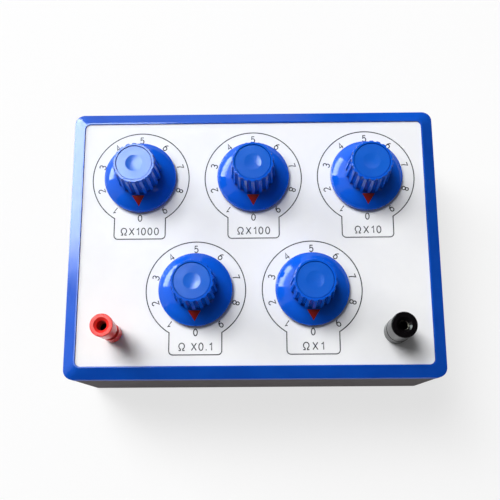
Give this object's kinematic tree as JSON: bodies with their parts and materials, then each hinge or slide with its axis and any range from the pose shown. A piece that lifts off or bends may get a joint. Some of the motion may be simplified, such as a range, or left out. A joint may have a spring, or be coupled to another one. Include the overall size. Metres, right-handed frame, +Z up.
{
  "type": "resistance decade box",
  "caption": "Bench resistance decade box: rotary dials with fluted skirted knobs on a bevelled case, and a red and a black binding post with plug sockets.",
  "frame": {"origin": "centre of the footprint on the surface that the feet stand on", "axes": "+X along the long side, to the right for the user; +Y away from the user; +Z up out of the panel"},
  "size_m": [0.1894, 0.1398, 0.1015],
  "materials": {
    "case_blue": "moulded ABS, glossy",
    "panel_white": "printed sheet, satin",
    "case_dark": "moulded, fine texture",
    "foot_rubber": "matt rubber",
    "screw_steel": "zinc plated",
    "nut_nickel": "nickel plated brass",
    "contact_brass": "turned brass",
    "spring_steel": "spring steel",
    "fibre": "vulcanised fibre",
    "lug_tin": "tinned brass",
    "wire_tin": "tinned copper",
    "knob_blue": "glossy moulded plastic",
    "knob_cap_blue": "glossy moulded plastic",
    "pointer_red": "red inlay",
    "spindle_steel": "turned steel",
    "wiper_bronze": "phosphor bronze",
    "frame_zinc": "die-cast zinc alloy",
    "board_phenolic": "phenolic laminate",
    "bobbin": "wire-wound, varnished",
    "post_red": "glossy moulded plastic",
    "post_black": "glossy moulded plastic",
    "stem_nickel": "nickel plated brass"
  },
  "bodies": {
    "case": {"top_cover": "case_blue", "front_panel": "panel_white", "lower_case": "case_dark", "rubber_feet": "foot_rubber", "case_screws": "screw_steel", "switch_nuts": "nut_nickel", "switch_contacts": "contact_brass", "detent_springs": "spring_steel", "post_insulating_washers": "fibre", "post_nuts": "nut_nickel", "solder_lugs": "lug_tin", "link_wires": "wire_tin", "switch_frame_x1000": "frame_zinc", "contact_board_x1000": "board_phenolic", "resistors_x1000": "bobbin", "switch_frame_x100": "frame_zinc", "contact_board_x100": "board_phenolic", "resistors_x100": "bobbin", "switch_frame_x10": "frame_zinc", "contact_board_x10": "board_phenolic", "resistors_x10": "bobbin", "switch_frame_x0_1": "frame_zinc", "contact_board_x0_1": "board_phenolic", "resistors_x0_1": "bobbin", "switch_frame_x1": "frame_zinc", "contact_board_x1": "board_phenolic", "resistors_x1": "bobbin", "red_post_collar": "post_red", "red_post_stem": "stem_nickel", "black_post_collar": "post_black", "black_post_stem": "stem_nickel"},
    "dial_x1000": {"knob_x1000": "knob_blue", "knob_cap_x1000": "knob_cap_blue", "pointer_x1000": "pointer_red", "shaft_x1000": "spindle_steel", "wiper_x1000": "wiper_bronze"},
    "dial_x100": {"knob_x100": "knob_blue", "knob_cap_x100": "knob_cap_blue", "pointer_x100": "pointer_red", "shaft_x100": "spindle_steel", "wiper_x100": "wiper_bronze"},
    "dial_x10": {"knob_x10": "knob_blue", "knob_cap_x10": "knob_cap_blue", "pointer_x10": "pointer_red", "shaft_x10": "spindle_steel", "wiper_x10": "wiper_bronze"},
    "dial_x0_1": {"knob_x0_1": "knob_blue", "knob_cap_x0_1": "knob_cap_blue", "pointer_x0_1": "pointer_red", "shaft_x0_1": "spindle_steel", "wiper_x0_1": "wiper_bronze"},
    "dial_x1": {"knob_x1": "knob_blue", "knob_cap_x1": "knob_cap_blue", "pointer_x1": "pointer_red", "shaft_x1": "spindle_steel", "wiper_x1": "wiper_bronze"},
    "red_clamp": {"red_post_clamp": "stem_nickel"},
    "red_cap": {"red_post_cap": "post_red"},
    "black_clamp": {"black_post_clamp": "stem_nickel"},
    "black_cap": {"black_post_cap": "post_black"}
  },
  "joints": [
    {"name": "dial_x1000_turn", "type": "hinge", "parent": "case", "child": "dial_x1000", "pos_m": [-0.05833, 0.0332, 0.072], "axis": [0, 0, -1], "continuous": true},
    {"name": "dial_x100_turn", "type": "hinge", "parent": "case", "child": "dial_x100", "pos_m": [0, 0.0332, 0.072], "axis": [0, 0, -1], "continuous": true},
    {"name": "dial_x10_turn", "type": "hinge", "parent": "case", "child": "dial_x10", "pos_m": [0.05833, 0.0332, 0.072], "axis": [0, 0, -1], "continuous": true},
    {"name": "dial_x0_1_turn", "type": "hinge", "parent": "case", "child": "dial_x0_1", "pos_m": [-0.02917, -0.02595, 0.072], "axis": [0, 0, -1], "continuous": true},
    {"name": "dial_x1_turn", "type": "hinge", "parent": "case", "child": "dial_x1", "pos_m": [0.02917, -0.02595, 0.072], "axis": [0, 0, -1], "continuous": true},
    {"name": "red_clamp_rise", "type": "slide", "parent": "case", "child": "red_clamp", "axis": [0, 0, 1], "range_m": [-0.0065, 0.0015]},
    {"name": "red_cap_turn", "type": "hinge", "parent": "red_clamp", "child": "red_cap", "pos_m": [-0.0702, -0.0474, 0.072], "axis": [0, 0, 1], "range_deg": [-2340, 540]},
    {"name": "black_clamp_rise", "type": "slide", "parent": "case", "child": "black_clamp", "axis": [0, 0, 1], "range_m": [0, 0.008]},
    {"name": "black_cap_turn", "type": "hinge", "parent": "black_clamp", "child": "black_cap", "pos_m": [0.0702, -0.0474, 0.072], "axis": [0, 0, 1], "range_deg": [0, 2880]}
  ],
  "couplings": [
    {"joint": "red_cap_turn", "follows": "red_clamp_rise", "rad_per_m": 6283.2},
    {"joint": "black_cap_turn", "follows": "black_clamp_rise", "rad_per_m": 6283.2}
  ]
}
